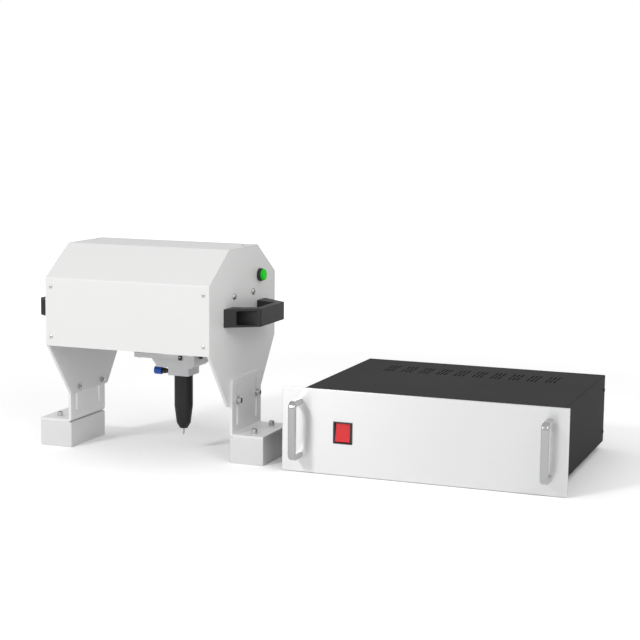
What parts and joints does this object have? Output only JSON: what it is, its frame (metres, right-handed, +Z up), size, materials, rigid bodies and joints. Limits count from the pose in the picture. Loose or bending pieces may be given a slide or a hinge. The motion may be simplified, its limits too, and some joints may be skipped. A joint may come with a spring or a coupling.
{
  "type": "nameplate marking machine",
  "caption": "Nameplate marking machine: a box head on slotted feet carries a motor-driven pneumatic stylus, with a wide low controller case beside it.",
  "frame": {"origin": "middle of the bounding box on the table, between the marking head and the controller", "axes": "+X along the head's length towards the controller on its right, +Y to the back, +Z up"},
  "size_m": [0.9528, 0.4702, 0.3666],
  "materials": {
    "cover_paint": "satin",
    "side_paint": "satin",
    "milled_aluminium": "satin",
    "bent_aluminium": "satin",
    "panel_aluminium": "satin",
    "rack_handle_aluminium": "satin",
    "chassis_paint": "satin",
    "handle_plastic": "matte",
    "hard_steel": "polished",
    "bolt_steel": "satin",
    "black_screws": "black oxide",
    "bracket_steel": "zinc plated",
    "stylus_black": "black anodised",
    "black_plastic": "satin",
    "socket_metal": "satin",
    "motor_case": "satin",
    "green_plastic": "gloss",
    "red_plastic": "gloss",
    "blue_plastic": "satin",
    "black_rubber": "matte",
    "supply_steel": "satin",
    "board_green": "satin"
  },
  "bodies": {
    "base": {"bracket_left": "bent_aluminium", "bracket_right": "bent_aluminium", "foot_block_left": "milled_aluminium", "foot_block_right": "milled_aluminium", "foot_bolts": "bolt_steel", "front_panel": "panel_aluminium", "rack_handle_left": "rack_handle_aluminium", "rack_handle_right": "rack_handle_aluminium", "switch_body": "black_plastic", "chassis_tray": "chassis_paint", "top_cover": "chassis_paint", "rear_panel": "chassis_paint", "rubber_feet": "black_rubber", "chassis_screws": "black_screws", "fan_frame": "black_plastic", "fan_guard": "bracket_steel", "mains_inlet": "black_plastic", "lead_sockets": "socket_metal", "power_supply": "supply_steel", "control_board": "board_green", "motor_drivers": "supply_steel", "air_valve": "milled_aluminium"},
    "head": {"side_plate_left": "side_paint", "side_plate_right": "side_paint", "cover_shell": "cover_paint", "cover_lugs": "milled_aluminium", "cover_screws": "black_screws", "x_shafts": "hard_steel", "side_screws": "bolt_steel", "handle_left": "handle_plastic", "handle_right": "handle_plastic", "button_bezel": "black_plastic", "clamp_bolts": "bolt_steel", "x_motor": "motor_case", "belt_brackets": "bracket_steel", "x_belt": "black_rubber", "head_sockets": "socket_metal"},
    "x_carriage": {"carriage_plate": "milled_aluminium", "bearing_blocks": "milled_aluminium", "linear_bushings": "hard_steel", "end_plates": "milled_aluminium", "y_rods": "hard_steel", "y_motor": "motor_case", "belt_clamp": "milled_aluminium"},
    "y_slide": {"slide_block": "milled_aluminium", "riser": "milled_aluminium", "stylus_plate": "milled_aluminium", "stylus_holder": "milled_aluminium", "plate_screws": "black_screws", "stylus_body": "stylus_black", "return_spring": "hard_steel", "air_fitting": "black_plastic"},
    "marking_pin": {"stylus_pin": "hard_steel"},
    "collar": {"release_collar": "blue_plastic"},
    "button": {"start_button": "green_plastic"},
    "power_rocker": {"rocker": "red_plastic"},
    "rotor": {"fan_rotor": "black_plastic"},
    "drive_pulley": {"motor_pulley": "milled_aluminium"},
    "free_pulley": {"idler_pulley": "milled_aluminium"},
    "y_screw": {"lead_screw": "hard_steel"}
  },
  "joints": [
    {"name": "head_height", "type": "slide", "parent": "base", "child": "head", "axis": [0, 0, 1], "range_m": [-0.018, 0.023]},
    {"name": "x_travel", "type": "slide", "parent": "head", "child": "x_carriage", "axis": [1, 0, 0], "range_m": [-0.09, 0.045]},
    {"name": "y_travel", "type": "slide", "parent": "x_carriage", "child": "y_slide", "axis": [0, 1, 0], "range_m": [-0.03, 0.03]},
    {"name": "pin_stroke", "type": "slide", "parent": "y_slide", "child": "marking_pin", "axis": [0, 0, -1], "range_m": [0, 0.006], "stiffness_N_per_m": 500, "springref_m": -0.004, "deforming": ["return_spring"]},
    {"name": "collar_press", "type": "slide", "parent": "y_slide", "child": "collar", "axis": [1, 0, 0], "range_m": [0, 0.0012], "stiffness_N_per_m": 200, "springref_m": -0.002},
    {"name": "button_press", "type": "slide", "parent": "head", "child": "button", "axis": [-1, 0, 0], "range_m": [0, 0.0035], "stiffness_N_per_m": 400, "springref_m": -0.003},
    {"name": "rocker_turn", "type": "hinge", "parent": "base", "child": "power_rocker", "pos_m": [0.10125, -0.1599, 0.0725], "axis": [1, 0, 0], "range_deg": [0, 16]},
    {"name": "fan_spin", "type": "hinge", "parent": "base", "child": "rotor", "pos_m": [0.16065, 0.2131, 0.073], "axis": [0, 1, 0], "continuous": true},
    {"name": "drive_pulley_turn", "type": "hinge", "parent": "head", "child": "drive_pulley", "pos_m": [-0.38335, -0.0925, 0.325], "axis": [0, 1, 0], "range_deg": [-270, 530]},
    {"name": "free_pulley_turn", "type": "hinge", "parent": "head", "child": "free_pulley", "pos_m": [-0.13935, -0.0925, 0.325], "axis": [0, 1, 0], "range_deg": [-270, 530]},
    {"name": "lead_screw_turn", "type": "hinge", "parent": "x_carriage", "child": "y_screw", "pos_m": [-0.22275, -0.0915, 0.222], "axis": [0, 1, 0], "range_deg": [-1360, 1360]}
  ],
  "couplings": [
    {"joint": "drive_pulley_turn", "follows": "x_travel", "rad_per_m": -99.01},
    {"joint": "free_pulley_turn", "follows": "x_travel", "rad_per_m": -99.01},
    {"joint": "lead_screw_turn", "follows": "y_travel", "rad_per_m": -785.4}
  ]
}
